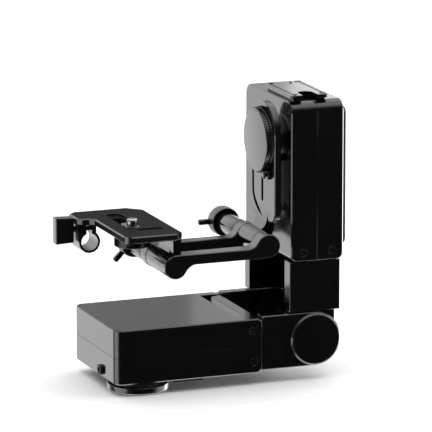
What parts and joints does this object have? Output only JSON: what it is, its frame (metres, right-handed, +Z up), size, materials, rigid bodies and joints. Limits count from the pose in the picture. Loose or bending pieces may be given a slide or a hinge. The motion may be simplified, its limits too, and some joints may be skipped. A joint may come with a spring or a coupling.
{
  "type": "remote pan tilt head",
  "caption": "Motorised pan and tilt camera head: round base, flat pan housing, folding column with a tilt drive, and a sliding, folding cradle with a camera plate.",
  "frame": {"origin": "on the pan axis at the underside of the base disc, at the mouth of the tripod thread", "axes": "+Z up along the pan axis, +X towards the folding column, +Y towards the back"},
  "size_m": [0.243, 0.1238, 0.249],
  "materials": {
    "cover": "satin black powder coat",
    "anodised": "gloss black anodised",
    "matte": "matte black anodised",
    "steel": "turned steel",
    "bearing": "ground steel",
    "brass": "machined brass",
    "motor": "drawn steel can",
    "board": "solder mask",
    "plastic": "moulded black",
    "contact": "plated contacts in a black holder",
    "fastener": "black oxide"
  },
  "bodies": {
    "base": {"base_disc": "cover", "base_ring": "plastic", "pan_spindle": "steel", "pan_gear": "brass", "spindle_nut": "steel"},
    "pan_head": {"pan_shell_lower": "cover", "pan_shell_upper": "cover", "underside_pad": "plastic", "fork_frame": "cover", "hinge_pin": "steel", "hinge_disc_front": "cover", "hinge_disc_back": "cover", "pan_motor": "motor", "pan_bearing": "bearing", "pan_circuit_board": "board", "power_socket": "plastic", "pan_screw_front_low": "fastener", "pan_screw_front_high": "fastener", "pan_screw_back_low": "fastener", "pan_screw_back_high": "fastener"},
    "pan_worm": {"pan_worm": "steel"},
    "column": {"column_channel": "cover", "case_inner_shell": "cover", "case_outer_shell": "cover", "tilt_bearing": "bearing", "tilt_motor": "motor", "tilt_circuit_board": "board", "battery_plate": "plastic", "battery_contacts": "contact", "rail_plate": "anodised", "case_screw_front_inner": "fastener", "case_screw_front_outer": "fastener", "case_screw_back_inner": "fastener", "case_screw_back_outer": "fastener"},
    "tilt_worm": {"tilt_worm": "steel"},
    "release_button": {"battery_release_button": "anodised"},
    "tilt": {"tilt_hub": "anodised", "tilt_gear": "brass", "knob_flange": "anodised"},
    "tilt_knob": {"tilt_knob": "anodised"},
    "lock_button": {"slide_lock_button": "anodised"},
    "bar": {"tilt_bar": "anodised"},
    "arms": {"arm_front": "anodised", "arm_rear": "anodised", "right_pin": "steel", "left_pin": "steel", "right_sleeve": "anodised", "left_sleeve": "anodised"},
    "right_ring": {"right_lock_ring": "anodised"},
    "left_ring": {"left_lock_ring": "anodised"},
    "head": {"head_bracket": "anodised", "camera_plate": "matte", "rod_clamp": "anodised"},
    "stud_carriage": {"stud_carriage": "steel"},
    "stud": {"camera_stud": "steel", "stud_wheel": "anodised"},
    "clamp_key": {"rod_clamp_key": "anodised"}
  },
  "joints": [
    {"name": "pan", "type": "hinge", "parent": "base", "child": "pan_head", "pos_m": [0, 0, 0.0104], "axis": [0, 0, 1], "continuous": true},
    {"name": "pan_worm_spin", "type": "hinge", "parent": "pan_head", "child": "pan_worm", "pos_m": [0.0273, 0, 0.028], "axis": [0, 1, 0], "continuous": true},
    {"name": "column_fold", "type": "hinge", "parent": "pan_head", "child": "column", "pos_m": [0.1532, 0.027, 0.03565], "axis": [0, 1, 0], "range_deg": [0, 90]},
    {"name": "tilt_worm_spin", "type": "hinge", "parent": "column", "child": "tilt_worm", "pos_m": [0.1439, 0.0263, 0.2086], "axis": [0, 0, 1], "continuous": true},
    {"name": "release_press", "type": "slide", "parent": "column", "child": "release_button", "axis": [-1, 0, 0], "range_m": [0, 0.0018], "stiffness_N_per_m": 400, "springref_m": -0.0005},
    {"name": "tilt", "type": "hinge", "parent": "column", "child": "tilt", "pos_m": [0.1207, 0, 0.2086], "axis": [1, 0, 0], "range_deg": [-90, 90]},
    {"name": "knob_turn", "type": "hinge", "parent": "tilt", "child": "tilt_knob", "pos_m": [0.1098, 0, 0.2086], "axis": [1, 0, 0], "continuous": true},
    {"name": "lock_press", "type": "slide", "parent": "tilt", "child": "lock_button", "axis": [1, 0, 0], "range_m": [0, 0.001], "stiffness_N_per_m": 200, "springref_m": -0.0005},
    {"name": "bar_slide", "type": "slide", "parent": "tilt", "child": "bar", "axis": [0, 0, 1], "range_m": [-0.002, 0.028]},
    {"name": "arms_swing", "type": "hinge", "parent": "bar", "child": "arms", "pos_m": [0.1064, -0.005, 0.123], "axis": [0, 1, 0], "range_deg": [-3, 40]},
    {"name": "right_ring_turn", "type": "hinge", "parent": "arms", "child": "right_ring", "pos_m": [0.1064, 0.0722, 0.123], "axis": [0, 1, 0], "range_deg": [-20, 20]},
    {"name": "left_ring_turn", "type": "hinge", "parent": "arms", "child": "left_ring", "pos_m": [0.022, 0.0722, 0.11135], "axis": [0, 1, 0], "range_deg": [-20, 20]},
    {"name": "head_tip", "type": "hinge", "parent": "arms", "child": "head", "pos_m": [0.022, -0.005, 0.11135], "axis": [0, -1, 0], "range_deg": [0, 15]},
    {"name": "stud_slide", "type": "slide", "parent": "head", "child": "stud_carriage", "axis": [0, 1, 0], "range_m": [0, 0.036]},
    {"name": "stud_turn", "type": "hinge", "parent": "stud_carriage", "child": "stud", "pos_m": [-0.0045, 0, 0.13], "axis": [0, 0, 1], "continuous": true},
    {"name": "clamp_key_turn", "type": "hinge", "parent": "head", "child": "clamp_key", "pos_m": [-0.048, 0.0525, 0.1312], "axis": [1, 0, 0], "continuous": true}
  ],
  "couplings": [
    {"joint": "pan_worm_spin", "follows": "pan", "ratio": 32},
    {"joint": "tilt_worm_spin", "follows": "tilt", "ratio": 30}
  ]
}
